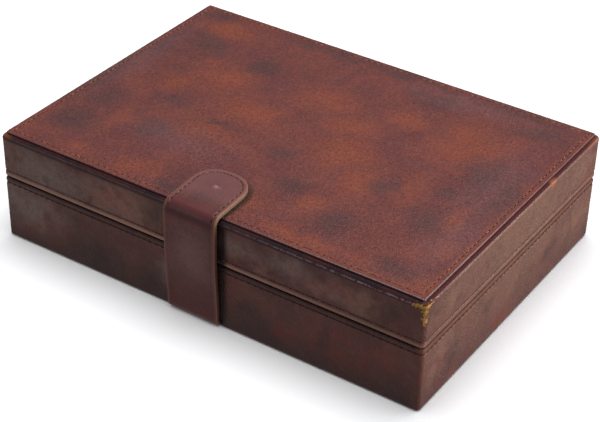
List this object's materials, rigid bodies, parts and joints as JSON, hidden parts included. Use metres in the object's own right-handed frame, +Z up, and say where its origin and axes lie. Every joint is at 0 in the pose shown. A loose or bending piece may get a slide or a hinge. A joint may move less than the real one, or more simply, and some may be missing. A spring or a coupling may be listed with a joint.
{
  "type": "poker chip case",
  "caption": "Flat leather-covered box with a hinged lid and a front strap, holding poker chips on edge and packs of cards.",
  "frame": {"origin": "centre of the base's underside, on the surface that the case stands on", "axes": "+X along the case's length, +Y from the strap towards the hinges, +Z up"},
  "size_m": [0.305, 0.2277, 0.08],
  "materials": {
    "top_leather": "waxed, mottled red-brown, satin",
    "side_leather": "waxed, dark brown, satin, worn at the corners",
    "strap_leather": "waxed, burgundy-brown, polished at the bend",
    "strap_backing": "raw, matt tan",
    "bottom_leather": "matt dark brown",
    "plywood": "raw",
    "card": "raw grey board",
    "green_felt": "flocked, matt",
    "lid_satin": "soft sheen",
    "brass": "aged, satin",
    "steel": "satin"
  },
  "bodies": {
    "base": {"base_back_board": "plywood", "base_back_lining": "green_felt", "base_bottom_board": "plywood", "base_bottom_cover": "bottom_leather", "base_floor_lining": "green_felt", "base_front_board": "plywood", "base_front_lining": "green_felt", "base_left_board": "plywood", "base_left_lining": "green_felt", "base_right_board": "plywood", "base_right_lining": "green_felt", "base_side_leather": "side_leather", "chip_rack_left": "green_felt", "chip_rack_right": "green_felt", "hinge_left_base_leaf": "brass", "hinge_left_base_screw_1": "brass", "hinge_left_base_screw_2": "brass", "hinge_left_pin": "steel", "hinge_right_base_leaf": "brass", "hinge_right_base_screw_1": "brass", "hinge_right_base_screw_2": "brass", "hinge_right_pin": "steel", "strap_rivet_left": "brass", "strap_rivet_right": "brass", "strap_tail": "strap_leather", "well_divider_back": "green_felt", "well_divider_front": "green_felt"},
    "lid": {"hinge_left_lid_leaf": "brass", "hinge_left_lid_screw_1": "brass", "hinge_left_lid_screw_2": "brass", "hinge_right_lid_leaf": "brass", "hinge_right_lid_screw_1": "brass", "hinge_right_lid_screw_2": "brass", "lid_back_board": "plywood", "lid_ceiling_pad": "lid_satin", "lid_front_board": "plywood", "lid_keeper_plate": "steel", "lid_left_board": "plywood", "lid_right_board": "plywood", "lid_side_leather": "side_leather", "lid_top_board": "plywood", "lid_top_filler": "card", "lid_top_panel": "top_leather", "lid_wall_lining": "lid_satin"},
    "strap": {"strap_riser_lining": "strap_backing", "strap_riser_outer": "strap_leather"},
    "strap_tip": {"strap_magnet": "steel", "strap_tip_lining": "strap_backing", "strap_tip_outer": "strap_leather"}
  },
  "joints": [
    {"name": "lid_hinge", "type": "hinge", "parent": "base", "child": "lid", "pos_m": [0, 0.1114, 0.0446], "axis": [-1, 0, 0], "range_deg": [0, 180]},
    {"name": "strap_swing", "type": "hinge", "parent": "base", "child": "strap", "pos_m": [-0.0035, -0.11065, 0.007], "axis": [1, 0, 0], "range_deg": [0, 90]},
    {"name": "strap_tip_lift", "type": "hinge", "parent": "strap", "child": "strap_tip", "pos_m": [-0.0035, -0.1045, 0.07865], "axis": [1, 0, 0], "range_deg": [0, 90]}
  ]
}
